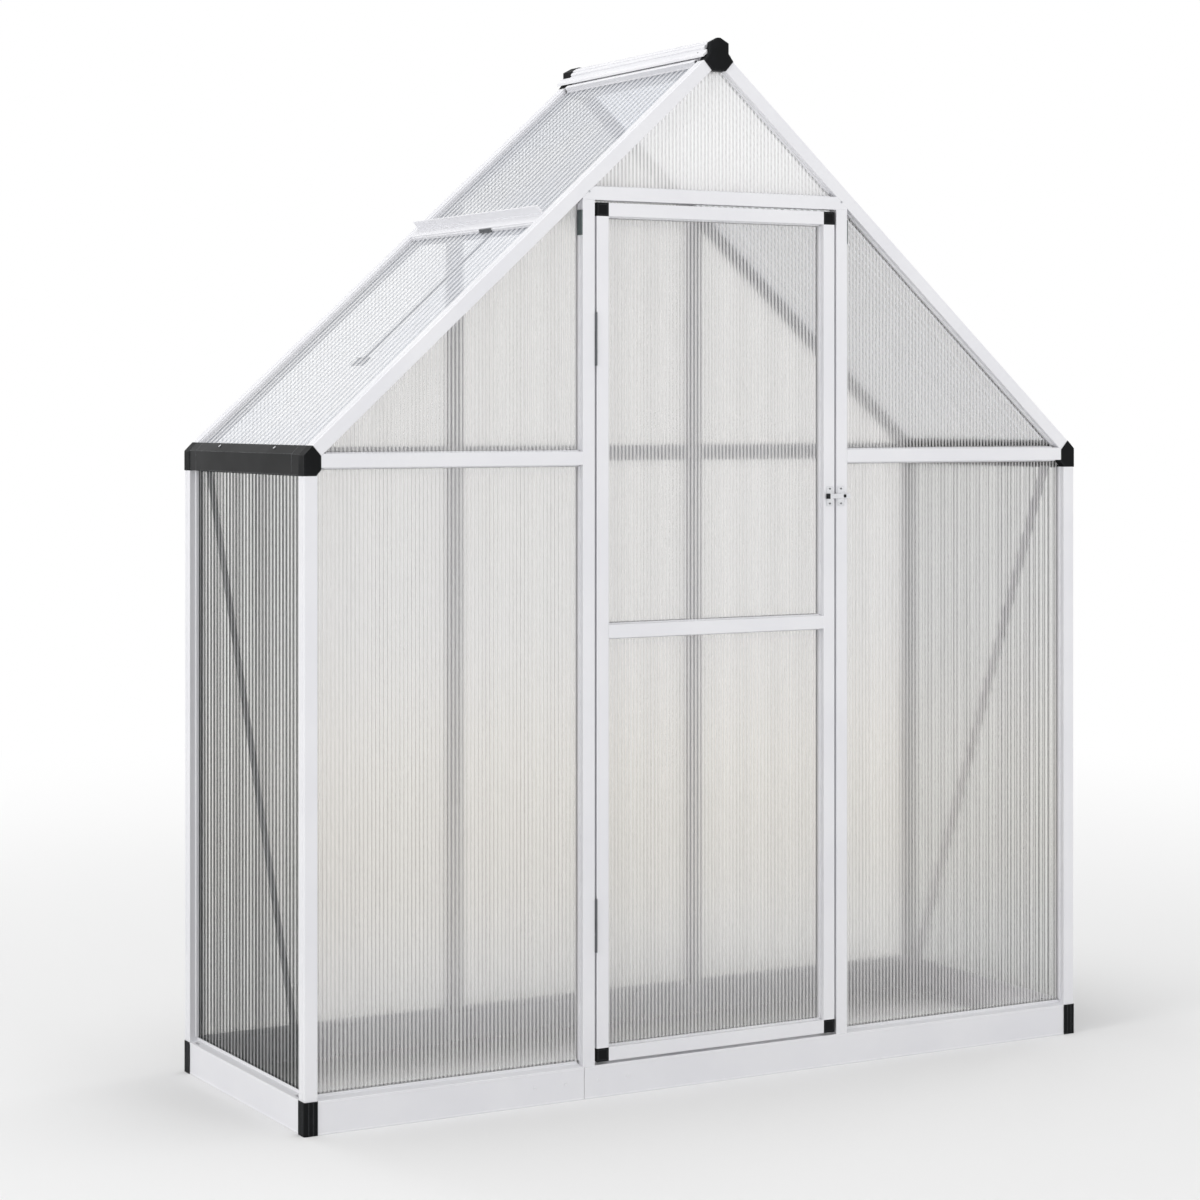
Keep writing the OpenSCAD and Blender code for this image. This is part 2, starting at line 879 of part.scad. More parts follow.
// Black corner block with a thin raised rim round its face
module door_corners() {
    rim = 3.5;
    color(black)
        for (x = [-door_l, door_in], z = [door_z0, door_z1 - bar])
            translate([x, -hd, z])
                difference() {
                    cube(bar);
                    translate([rim, -1, rim]) cube([bar - 2 * rim, 1.6, bar - 2 * rim]);
                }
}

module door_sheets() {
    color(clear) {
        wall_sheet(-door_in, door_in, door_z0 + bar, mid_rail_z);
        wall_sheet(-door_in, door_in, mid_rail_z + bar, door_z1 - bar);
    }
}

// Knuckle between heights a and b, with its leaf on the door (1) or jamb (-1) side of the gap
module knuckle(a, b, side) {
    face = side > 0 ? door_gap / 2 - leaf_t : -door_gap / 2;
    translate([0, 0, a]) {
        cylinder(h = b - a, r = knuckle_r);
        translate([face, 0, 0]) cube([leaf_t, 16, b - a]);
    }
}

module door_hinges() {
    color(grey)
        for (z = [hinge_low_z, hinge_top_z])
            translate([hinge_x, hinge_y, z])
                difference() {
                    knuckle(hinge_h / 3 + 0.5, 2 * hinge_h / 3 - 0.5, 1);
                    cylinder(h = hinge_h, r = pin_r + 0.2);
                }
}

module jamb_hinges() {
    color(grey)
        for (z = [hinge_low_z, hinge_top_z])
            translate([hinge_x, hinge_y, z]) {
                knuckle(0, hinge_h / 3, -1);
                knuckle(2 * hinge_h / 3, hinge_h, -1);
                cylinder(h = hinge_h, r = pin_r);
            }
}

// ---------- Latch ----------

// Plate with an ear above and below the bolt and a screw hole near each end
module ear_plate(x) {
    translate([x, -hd, latch_z]) {
        rotate([90, 0, 0])
            linear_extrude(plate_t)
                difference() {
                    translate([0, -plate_h / 2]) rounded_square(plate_w, plate_h, 2);
                    for (z = [-16, 16]) translate([plate_w / 2, z]) circle(1.8);
                }
        for (z = [-bolt_h / 2 - play - ear_t, bolt_h / 2 + play])
            translate([5, -plate_t - bolt_t - play, z])
                cube([plate_w - 8, bolt_t + play + 0.5, ear_t]);
    }
}

// Guide on the door stile: a strap joins its ears in front of the bolt
module latch_plate() {
    color(steel) {
        ear_plate(door_in + 7);
        translate([door_in + 12, -hd - plate_t - bolt_t - play - ear_t,
                   latch_z - bolt_h / 2 - play - ear_t])
            cube([plate_w - 8, ear_t, bolt_h + 2 * (play + ear_t)]);
    }
}

// Keeper on the jamb, open at the front
module latch_keeper() color(steel) ear_plate(jamb_in + 3);

// Flat bolt with a square eye near its tip
module latch_bolt() {
    color(steel)
        translate([bolt_x, -hd - plate_t - play / 2, latch_z])
            rotate([90, 0, 0])
                linear_extrude(bolt_t)
                    difference() {
                        translate([0, -bolt_h / 2]) rounded_square(bolt_l, bolt_h, 1.5);
                        translate([bolt_l - 18, -3.5]) square(7);
                    }
}

base_front_left();
base_front_right();
base_back();
base_sides();
base_joints();
posts_front();
posts_back();
jamb_left();
jamb_right();
jamb_brackets();
header();
rail_front_left();
rail_front_right();
back_uprights();
rails_back();
rafter_front_left();
rafter_front_right();
rafters_back();
ridge_beam();
ridge_joints();
eave_beams();
eave_joints();
wall_braces();
roof_cross_bar();
vent_bars();
vent_sheet();
vent_stay();
top_bar_right();
sheets_front_left();
sheets_front_right();
sheet_gable();
sheet_left();
sheet_right();
sheets_back();
sheet_roof_left();
sheet_roof_right();
door_stiles();
door_rails();
door_corners();
door_sheets();
door_hinges();
jamb_hinges();
latch_plate();
latch_bolt();
latch_keeper();
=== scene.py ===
"""Looks of a small walk-in greenhouse: finishes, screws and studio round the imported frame."""

from __future__ import annotations

import logging
import math
from dataclasses import dataclass, field
from enum import Enum
from typing import Iterable, Sequence

import bmesh
import bpy
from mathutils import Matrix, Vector

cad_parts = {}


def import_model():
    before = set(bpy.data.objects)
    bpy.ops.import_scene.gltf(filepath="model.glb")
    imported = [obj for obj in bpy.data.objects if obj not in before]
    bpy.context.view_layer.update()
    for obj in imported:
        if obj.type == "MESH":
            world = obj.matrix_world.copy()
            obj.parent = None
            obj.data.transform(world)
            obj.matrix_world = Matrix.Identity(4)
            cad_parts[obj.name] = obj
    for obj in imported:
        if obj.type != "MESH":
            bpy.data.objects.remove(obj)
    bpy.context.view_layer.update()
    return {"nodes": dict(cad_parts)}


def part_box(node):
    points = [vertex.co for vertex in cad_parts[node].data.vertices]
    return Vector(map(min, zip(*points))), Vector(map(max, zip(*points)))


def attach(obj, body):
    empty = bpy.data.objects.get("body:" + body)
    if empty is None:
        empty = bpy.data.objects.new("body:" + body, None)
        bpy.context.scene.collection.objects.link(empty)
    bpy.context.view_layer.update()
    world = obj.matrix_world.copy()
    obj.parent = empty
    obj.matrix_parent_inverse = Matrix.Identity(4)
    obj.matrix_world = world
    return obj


LOG = logging.getLogger("greenhouse")
MM = 0.001
FRONT = (0.0, -1.0, 0.0)


class Body(str, Enum):
    """The bodies that the joints move against each other."""

    HOUSE = "house"
    DOOR = "door"
    BOLT = "bolt"


class Slot(str, Enum):
    """The record's finishes, which are named for the added pieces but not given to them."""

    PLASTIC = "black_plastic"
    HINGE = "hinge_metal"
    BRIGHT = "bright_metal"


class Ribs(Enum):
    """The axis that lies across the ribs of a sheet: 0 for X and 1 for Y."""

    ACROSS_X = 0
    ACROSS_Y = 1


class NodeTree:
    """Adds shader nodes to a tree and joins them, so that a finish reads as a recipe.

    EDGE_TURN holds the cosines between which a turned normal starts to count as an edge.
    """

    EDGE_TURN = (0.995, 0.9)

    def __init__(self, tree: bpy.types.NodeTree) -> None:
        """Starts from an empty tree.

        Args:
            tree: the node tree of a material or a world.
        """
        self.tree = tree
        tree.nodes.clear()

    def add(self, kind: str, **settings: object) -> bpy.types.Node:
        """Adds a node and sets its properties.

        Args:
            kind: the node's type name.
            **settings: properties of the node by name.

        Returns:
            The new node.
        """
        node = self.tree.nodes.new(kind)
        for name, value in settings.items():
            setattr(node, name, value)
        return node

    def put(self, source: object, target: bpy.types.NodeSocket) -> None:
        """Links a socket, or writes a plain value, to a target socket.

        Args:
            source: an output socket, a number or a tuple of numbers.
            target: the input socket that takes it.
        """
        if isinstance(source, bpy.types.NodeSocket):
            self.tree.links.new(source, target)
        else:
            target.default_value = source

    def place(self) -> bpy.types.NodeSocket:
        """Returns the object coordinates, which are metres in the shared frame."""
        return self.add("ShaderNodeTexCoord").outputs["Object"]

    def split(self, vector: bpy.types.NodeSocket) -> bpy.types.NodeOutputs:
        """Splits coordinates.

        Args:
            vector: the coordinates.

        Returns:
            The sockets of X, Y and Z.
        """
        node = self.add("ShaderNodeSeparateXYZ")
        self.put(vector, node.inputs[0])
        return node.outputs

    def stretch(self, vector: bpy.types.NodeSocket, scale: Sequence[float]) -> bpy.types.NodeSocket:
        """Scales coordinates along each axis.

        Args:
            vector: the coordinates.
            scale: the three factors.

        Returns:
            The scaled coordinates.
        """
        node = self.add("ShaderNodeVectorMath", operation="MULTIPLY")
        self.put(vector, node.inputs[0])
        node.inputs[1].default_value = scale
        return node.outputs[0]

    def noise(self, vector: bpy.types.NodeSocket, scale: float, detail: float = 3.0,
              roughness: float = 0.55) -> bpy.types.NodeSocket:
        """Adds a noise texture.

        Args:
            vector: the coordinates.
            scale: how many features fit in a metre.
            detail: how many finer layers are added.
            roughness: how strong the finer layers are.

        Returns:
            The noise, from 0 to 1.
        """
        node = self.add("ShaderNodeTexNoise")
        self.put(vector, node.inputs["Vector"])
        node.inputs["Scale"].default_value = scale
        node.inputs["Detail"].default_value = detail
        node.inputs["Roughness"].default_value = roughness
        return node.outputs["Fac"]

    def remap(self, value: bpy.types.NodeSocket, low: float, high: float, to_low: float,
              to_high: float) -> bpy.types.NodeSocket:
        """Maps a range of values smoothly onto another.

        Args:
            value: the values.
            low: the start of the old range.
            high: the end of the old range.
            to_low: the start of the new range.
            to_high: the end of the new range.

        Returns:
            The mapped values.
        """
        node = self.add("ShaderNodeMapRange", interpolation_type="SMOOTHSTEP")
        self.put(value, node.inputs["Value"])
        for name, number in (("From Min", low), ("From Max", high), ("To Min", to_low),
                             ("To Max", to_high)):
            node.inputs[name].default_value = number
        return node.outputs[0]

    def math(self, operation: str, *values: object) -> bpy.types.NodeSocket:
        """Adds a math node on sockets or numbers.

        Args:
            operation: the node's operation.
            *values: its operands.

        Returns:
            The result.
        """
        node = self.add("ShaderNodeMath", operation=operation)
        for value, target in zip(values, node.inputs):
            self.put(value, target)
        return node.outputs[0]

    def blend(self, factor: object, first: object, second: object) -> bpy.types.NodeSocket:
        """Mixes two colours.

        Args:
            factor: the share of the second colour.
            first: a colour or its socket.
            second: a colour or its socket.

        Returns:
            The mixed colour.
        """
        node = self.add("ShaderNodeMix", data_type="RGBA")
        self.put(factor, node.inputs["Factor"])
        self.put(first, node.inputs[6])
        self.put(second, node.inputs[7])
        return node.outputs[2]

    def bump(self, height: bpy.types.NodeSocket, depth: float,
             strength: float = 1.0) -> bpy.types.NodeSocket:
        """Turns heights into a bumped normal.

        Args:
            height: the heights, from 0 to 1.
            depth: the depth of the bumps in metres.
            strength: how much of the bump shows.

        Returns:
            The normal.
        """
        node = self.add("ShaderNodeBump")
        self.put(height, node.inputs["Height"])
        node.inputs["Distance"].default_value = depth
        node.inputs["Strength"].default_value = strength
        return node.outputs[0]

    def edges(self, radius: float) -> bpy.types.NodeSocket:
        """Finds the edges of a form by how far a rounded normal turns away from the true one.

        Args:
            radius: how far from the edge the rounding reaches, in metres.

        Returns:
            1 along edges and 0 on flat faces.
        """
        rounded = self.add("ShaderNodeBevel", samples=4)
        rounded.inputs["Radius"].default_value = radius
        true = self.add("ShaderNodeNewGeometry")
        match = self.add("ShaderNodeVectorMath", operation="DOT_PRODUCT")
        self.put(rounded.outputs[0], match.inputs[0])
        self.put(true.outputs["Normal"], match.inputs[1])
        return self.remap(match.outputs["Value"], *self.EDGE_TURN, 0.0, 1.0)

    def surface(self, shader: bpy.types.NodeSocket) -> None:
        """Sends a shader to the output of the tree."""
        out = self.add("ShaderNodeOutputMaterial")
        self.put(shader, out.inputs["Surface"])


def srgb(*levels: float) -> tuple[float, float, float, float]:
    """Turns display levels from 0 to 255 into the linear colour that shaders take.

    Args:
        *levels: red, green and blue.

    Returns:
        The linear colour with an alpha of 1.
    """
    shares = [level / 255 for level in levels]
    return tuple(s / 12.92 if s <= 0.04045 else ((s + 0.055) / 1.055) ** 2.4 for s in shares) + (1.0,)


@dataclass(frozen=True)
class Finish:
    """Finish of a surface, made once into a material.

    Attributes:
        name: the material's name.
    """

    name: str

    def start(self) -> tuple[bpy.types.Material, NodeTree]:
        """Starts the material.

        Returns:
            The material and its empty tree.
        """
        mat = bpy.data.materials.new(self.name)
        mat.use_nodes = True
        return mat, NodeTree(mat.node_tree)

    def make(self) -> bpy.types.Material:
        """Builds the material; each finish has its own way."""
        raise NotImplementedError


@dataclass(frozen=True)
class PowderCoat(Finish):
    """Baked powder coat on aluminium, with its faint orange peel and a painted highlight along its edges.

    Attributes:
        colour: the coat, in display levels.
        shade: the tone of its darker clouds.
        edge: the tone of the painted highlight along the edges.
        gloss: the roughness, from its least to its most.
        peel: the depth of the orange peel.
        specular: the strength of the sheen.
        edge_highlight_share: how far an edge takes on the painted highlight.
        edge_highlight_reach: how wide the painted highlight along an edge is.
        cloud_scale: how many clouds fit in a metre.
        highlight_gap_scale: how many gaps in the painted edge highlight fit in a metre.
        peel_scale: how many dimples of the peel fit in a metre.
    """

    colour: tuple[float, float, float]
    shade: tuple[float, float, float]
    edge: tuple[float, float, float]
    gloss: tuple[float, float] = (0.34, 0.46)
    peel: float = 0.06 * MM
    specular: float = 0.4
    edge_highlight_share: float = 0.5
    edge_highlight_reach: float = 1.2 * MM
    cloud_scale: float = 4.0
    highlight_gap_scale: float = 90.0
    peel_scale: float = 420.0

    def make(self) -> bpy.types.Material:
        """Builds the material.

        Returns:
            The coat as a material.
        """
        mat, nodes = self.start()
        place = nodes.place()
        cloud = nodes.noise(place, self.cloud_scale, 4.0)
        speck = nodes.noise(place, self.peel_scale, 2.0)
        tone = nodes.blend(nodes.remap(cloud, 0.3, 0.7, 0.0, 1.0), srgb(*self.shade), srgb(*self.colour))
        # Painted highlight: the edges are lightened, with gaps, where light would catch them.
        highlight_gaps = nodes.remap(nodes.noise(place, self.highlight_gap_scale, 3.0), 0.35, 0.6, 0.4, 1.0)
        edge_highlight_and_pale_clouds = nodes.math("MULTIPLY", nodes.edges(self.edge_highlight_reach), highlight_gaps)
        painted_edge_highlight = nodes.math("MULTIPLY", edge_highlight_and_pale_clouds, self.edge_highlight_share)
        tone = nodes.blend(painted_edge_highlight, tone, srgb(*self.edge))
        skin = nodes.add("ShaderNodeBsdfPrincipled")
        nodes.put(tone, skin.inputs["Base Color"])
        nodes.put(nodes.remap(cloud, 0.25, 0.75, self.gloss[1], self.gloss[0]), skin.inputs["Roughness"])
        skin.inputs["Specular IOR Level"].default_value = self.specular
        nodes.put(nodes.bump(speck, self.peel, 0.6), skin.inputs["Normal"])
        nodes.surface(skin.outputs[0])
        return mat


@dataclass(frozen=True)
class MouldedPlastic(Finish):
    """Matte black moulding with a fine grain and a painted highlight along its edges.

    Attributes:
        colour: the plastic, in display levels.
        edge_highlight_and_pale_clouds: the tone of its paler clouds.
        edge: the tone of the painted highlight along the edges.
        roughness: the roughness, from its least to its most.
        grain: the depth of the grain.
        specular: the strength of the sheen.
        edge_highlight_share: how far an edge takes on the painted highlight.
        edge_highlight_reach: how wide the painted highlight along an edge is.
        cloud_scale: how many clouds fit in a metre.
        grain_scale: how many grains fit in a metre.
    """

    colour: tuple[float, float, float]
    edge_highlight_and_pale_clouds: tuple[float, float, float]
    edge: tuple[float, float, float]
    roughness: tuple[float, float] = (0.5, 0.66)
    grain: float = 0.1 * MM
    specular: float = 0.1
    edge_highlight_share: float = 0.7
    edge_highlight_reach: float = 1.5 * MM
    cloud_scale: float = 22.0
    grain_scale: float = 900.0

    def make(self) -> bpy.types.Material:
        """Builds the material.

        Returns:
            The plastic as a material.
        """
        mat, nodes = self.start()
        place = nodes.place()
        cloud = nodes.noise(place, self.cloud_scale, 4.0)
        grain = nodes.noise(place, self.grain_scale, 2.0)
        tone = nodes.blend(nodes.remap(cloud, 0.45, 0.75, 0.0, 1.0), srgb(*self.colour), srgb(*self.edge_highlight_and_pale_clouds))
        # Painted highlight: the edges are lightened where light would catch them.
        painted_edge_highlight = nodes.math("MULTIPLY", nodes.edges(self.edge_highlight_reach), self.edge_highlight_share)
        tone = nodes.blend(painted_edge_highlight, tone, srgb(*self.edge))
        skin = nodes.add("ShaderNodeBsdfPrincipled")
        nodes.put(tone, skin.inputs["Base Color"])
        nodes.put(nodes.remap(cloud, 0.3, 0.7, *self.roughness), skin.inputs["Roughness"])
        skin.inputs["Specular IOR Level"].default_value = self.specular
        nodes.put(nodes.bump(grain, self.grain, 0.7), skin.inputs["Normal"])
        nodes.surface(skin.outputs[0])
        return mat


@dataclass(frozen=True)
class BareMetal(Finish):
    """Plated or bare metal with a fine brushed streak.

    Attributes:
        colour: the metal, in display levels.
        roughness: the roughness, from its least to its most.
        streak: how many streaks fit in a metre along each axis.
        cloud_scale: how many dull clouds fit in a metre.
        dull_share: how bright a dull cloud is, as a share of the metal.
        scratch: the depth of the streaks.
    """

    colour: tuple[float, float, float]
    roughness: tuple[float, float] = (0.22, 0.38)
    streak: tuple[float, float, float] = (60.0, 60.0, 900.0)
    cloud_scale: float = 60.0
    dull_share: float = 0.86
    scratch: float = 0.04 * MM

    def make(self) -> bpy.types.Material:
        """Builds the material.

        Returns:
            The metal as a material.
        """
        mat, nodes = self.start()
        place = nodes.place()
        cloud = nodes.noise(place, self.cloud_scale, 3.0)
        streak = nodes.noise(nodes.stretch(place, self.streak), 1.0, 3.0)
        dull = tuple(self.dull_share * level for level in self.colour)
        skin = nodes.add("ShaderNodeBsdfPrincipled")
        nodes.put(nodes.blend(cloud, srgb(*dull), srgb(*self.colour)), skin.inputs["Base Color"])
        nodes.put(nodes.remap(streak, 0.25, 0.75, *self.roughness), skin.inputs["Roughness"])
        skin.inputs["Metallic"].default_value = 1.0
        nodes.put(nodes.bump(streak, self.scratch, 0.5), skin.inputs["Normal"])
        nodes.surface(skin.outputs[0])
        return mat


@dataclass(frozen=True)
class TwinWall(Finish):
    """Clear twin-wall sheet: its ribs show on the outer face as milky lines with clearer gaps between.

    Attributes:
        ribs: the axis across the ribs.
        outward: the way that the outer face looks, without signs, so that it fits both sides.
        outer_face: how far out along it that face lies.
        pitch: the distance from rib to rib.
        rib_tone: the colour of a rib on the outer face.
        gap_tone: the colour of a gap on the outer face, which holds painted shade on the side walls and a
            painted sky reflection on the roof.
        milk: the share of the light that the outer face scatters, in gaps and then on ribs.
        cast: the colour of broad clouds over the sheet: a painted sky reflection on the roof, painted shade
            on the side walls and a slight tone variation on the other walls.
        cast_share: how strong the clouds are.
        streak: the share of the die's streaks in the pattern.
        clear: the colour of the rest of the sheet.
        crisp: half the width of the change from gap to rib, on a wave from -1 to 1.
        lean: where on the wave the change lies; above 0 the ribs get narrower.
        frost: the share of the light that the inner face scatters.
        knee_tint: a warmer, slightly darker tint at knee height.
        knee_tint_share: how strong that tint is.
        gable_light_tint: the white tint of the painted light under the roof, which makes the gable
            brighter.
        gable_light_share: how strong that painted light is.
        gable_milk: what is added to the milk under the roof, which also makes the gable brighter.
        broad_cloud_scale: how many broad clouds fit in a metre.
        knee_rise: the heights between which the knee's tint comes in.
        knee_fall: the heights between which it goes out.
        gable_fade: the heights between which the painted light under the roof comes in.
        gable_milk_fade: the heights between which the milk under the roof comes in.
        drawn: how many of the die's streaks fit in a metre across the ribs and along them.
        thick: the sheet's thickness.
        lens: how deep the ribs' swell is, which bends what shows through.
        roughness: the roughness, in gaps and then on ribs.
        index: the refractive index of the skins.
        near: how near to a face still counts as that face.
    """

    ribs: Ribs
    outward: tuple[float, float, float]
    outer_face: float
    pitch: float
    rib_tone: tuple[float, float, float]
    gap_tone: tuple[float, float, float]
    milk: tuple[float, float]
    cast: tuple[float, float, float]
    cast_share: float
    streak: float
    clear: tuple[float, float, float] = (253, 253, 252.6)
    crisp: float = 0.7
    lean: float = 0.0
    frost: float = 0.0
    knee_tint: tuple[float, float, float] = (250, 250, 250)
    knee_tint_share: float = 0.0
    gable_light_tint: tuple[float, float, float] = (255, 255, 255)
    gable_light_share: float = 0.0
    gable_milk: float = 0.0
    broad_cloud_scale: float = 1.7
    knee_rise: tuple[float, float] = (0.2, 0.45)
    knee_fall: tuple[float, float] = (0.55, 1.05)
    gable_fade: tuple[float, float] = (1.8, 2.0)
    gable_milk_fade: tuple[float, float] = (1.82, 1.9)
    drawn: tuple[float, float] = (70.0, 0.5)
    thick: float = 4.0 * MM
    lens: float = 0.04 * MM
    roughness: tuple[float, float] = (0.03, 0.09)
    index: float = 1.14
    near: float = 0.2 * MM

    def make(self) -> bpy.types.Material:
        """Builds the material.

        Returns:
            The sheet as a material.
        """
        mat, nodes = self.start()
        place = nodes.place()
        depth = self.depth(nodes, place)
        outer = nodes.math("LESS_THAN", depth, self.near)
        inner = nodes.math("GREATER_THAN", depth, self.thick - self.near)
        wave = self.wave(nodes, place)
        rib = nodes.remap(wave, self.lean - self.crisp, self.lean + self.crisp, 0.0, 1.0)
        tone = nodes.math("ADD", nodes.math("MULTIPLY", rib, 1 - self.streak),
                          nodes.math("MULTIPLY", self.threads(nodes, place), self.streak))
        # Broad clouds of the cast colour: painted sky reflection on the roof and painted shade on the side
        # walls.
        broad_cloud = nodes.remap(nodes.noise(place, self.broad_cloud_scale, 2.0), 0.42, 0.62, 0.0, self.cast_share)
        face = nodes.blend(tone, srgb(*self.gap_tone), srgb(*self.rib_tone))
        face = nodes.blend(broad_cloud, face, srgb(*self.cast))
        height = nodes.split(place)[2]
        face = self.tints_by_height(nodes, height, face)
        glass = nodes.add("ShaderNodeBsdfPrincipled", distribution="GGX")
        nodes.put(nodes.blend(outer, srgb(*self.clear), face), glass.inputs["Base Color"])
        lines = nodes.math("ADD", nodes.remap(tone, 0.0, 1.0, *self.milk),
                           nodes.remap(height, *self.gable_milk_fade, 0.0, self.gable_milk))
        milk = nodes.math("ADD", nodes.math("MULTIPLY", outer, lines),
                          nodes.math("MULTIPLY", inner, self.frost))
        nodes.put(nodes.math("SUBTRACT", 1.0, milk), glass.inputs["Transmission Weight"])
        nodes.put(nodes.remap(tone, 0.0, 1.0, *self.roughness), glass.inputs["Roughness"])
        glass.inputs["IOR"].default_value = self.index
        nodes.put(nodes.bump(nodes.math("MULTIPLY", outer, wave), self.lens), glass.inputs["Normal"])
        nodes.surface(glass.outputs[0])
        return mat

    def tints_by_height(self, nodes: NodeTree, height: bpy.types.NodeSocket,
                  face: bpy.types.NodeSocket) -> bpy.types.NodeSocket:
        """Gives the sheet a warmer tint at knee height and paints light into it under the roof, so that the
        gable shows brighter.

        Args:
            nodes: the tree that it is made in.
            height: the height above the floor.
            face: the colour of the face.

        Returns:
            The weathered colour.
        """
        knee = nodes.math("MULTIPLY", nodes.remap(height, *self.knee_rise, 0.0, self.knee_tint_share),
                          nodes.remap(height, *self.knee_fall, 1.0, 0.0))
        # Painted light: a white tint brightens the sheet under the roof.
        top = nodes.remap(height, *self.gable_fade, 0.0, self.gable_light_share)
        return nodes.blend(top, nodes.blend(knee, face, srgb(*self.knee_tint)), srgb(*self.gable_light_tint))

    def wave(self, nodes: NodeTree, place: bpy.types.NodeSocket) -> bpy.types.NodeSocket:
        """Gives the swing from rib to rib.

        Args:
            nodes: the tree that it is made in.
            place: the coordinates.

        Returns:
            A value from -1 to 1, which is 1 on a rib.
        """
        across = nodes.split(place)[self.ribs.value]
        return nodes.math("COSINE", nodes.math("MULTIPLY", across, math.tau / self.pitch))

    def threads(self, nodes: NodeTree, place: bpy.types.NodeSocket) -> bpy.types.NodeSocket:
        """Gives the streaks that the die draws along the sheet.

        Args:
            nodes: the tree that they are made in.
            place: the coordinates.

        Returns:
            A value from 0 to 1.
        """
        fine, long = self.drawn
        drawn = (fine, fine, long) if self.ribs is Ribs.ACROSS_X else (long, fine, long)
        return nodes.remap(nodes.noise(nodes.stretch(place, drawn), 1.0, 3.0), 0.35, 0.68, 0.0, 1.0)

    def depth(self, nodes: NodeTree, place: bpy.types.NodeSocket) -> bpy.types.NodeSocket:
        """Measures how deep in the sheet a point lies.

        Args:
            nodes: the tree that it is made in.
            place: the coordinates.

        Returns:
            0 on the outer face, up to the thickness on the inner one.
        """
        folded = nodes.add("ShaderNodeVectorMath", operation="ABSOLUTE")
        nodes.put(place, folded.inputs[0])
        out = nodes.add("ShaderNodeVectorMath", operation="DOT_PRODUCT")
        nodes.put(folded.outputs[0], out.inputs[0])
        out.inputs[1].default_value = self.outward
        return nodes.math("SUBTRACT", self.outer_face, out.outputs["Value"])


# The edge tone of each coat and moulding is a painted highlight along its edges.
WHITE_COAT = PowderCoat("white_powder_coat", (232, 232, 235), (227, 227, 231), (254, 254, 255),
                        edge_highlight_share=0.8)
BLACK_COAT = PowderCoat("black_powder_coat", (18, 19, 21), (14, 15, 16), (120, 122, 125), (0.36, 0.5),
                        specular=0.13, edge_highlight_share=0.95)
BLACK_MOULDING = MouldedPlastic("black_moulding", (17, 18, 19), (24, 25, 27), (78, 80, 82))
BRACKET_COAT = PowderCoat("bracket_coat", (84, 94, 94), (74, 84, 84), (122, 130, 130), (0.40, 0.52))
HINGE_COAT = PowderCoat("hinge_coat", (96, 98, 101), (84, 86, 90), (140, 142, 145), (0.35, 0.5))
BRIGHT_ZINC = BareMetal("bright_zinc", (234, 235, 238))
STAY_STEEL = BareMetal("stay_steel", (146, 148, 152), (0.3, 0.45))
SCREW_STEEL = BareMetal("screw_steel", (206, 208, 212), (0.3, 0.45))
WALL_SHEET = TwinWall(
    "wall_sheet", Ribs.ACROSS_X, outward=(0.0, 1.0, 0.0), outer_face=0.300, pitch=0.0088,
    rib_tone=(238, 237, 237), gap_tone=(253, 252, 252), milk=(0.02, 0.50), cast=(240, 239, 236),
    cast_share=0.2, streak=0.06, roughness=(0.03, 0.2), knee_tint=(247, 241, 231), knee_tint_share=0.4,
    gable_light_share=0.8, gable_milk=0.42)
# The side sheets' near-black gaps and dark broad clouds are painted shade, as the side walls stand in
# shade; their rib lines are the sheet's own.
SIDE_SHEET = TwinWall(
    "side_sheet", Ribs.ACROSS_Y, outward=(1.0, 0.0, 0.0), outer_face=0.930, pitch=0.0176,
    rib_tone=(251, 252, 252), gap_tone=(60, 62, 63), milk=(0.03, 0.13), cast=(150, 153, 155),
    cast_share=0.08, streak=0.1, crisp=0.35, lean=0.34, frost=0.03, index=1.06)
# The roof's bluish gaps and bluish broad clouds are a painted sky reflection; its rib lines are the sheet's
# own.
ROOF_SHEET = TwinWall(
    "roof_sheet", Ribs.ACROSS_Y, outward=(0.66913, 0.0, 0.743145), outer_face=1.61737, pitch=0.0235,
    rib_tone=(254, 254, 255), gap_tone=(234, 238, 247), milk=(0.26, 0.58), cast=(226, 232, 246),
    cast_share=0.22, streak=0.08, crisp=0.4, index=1.05)


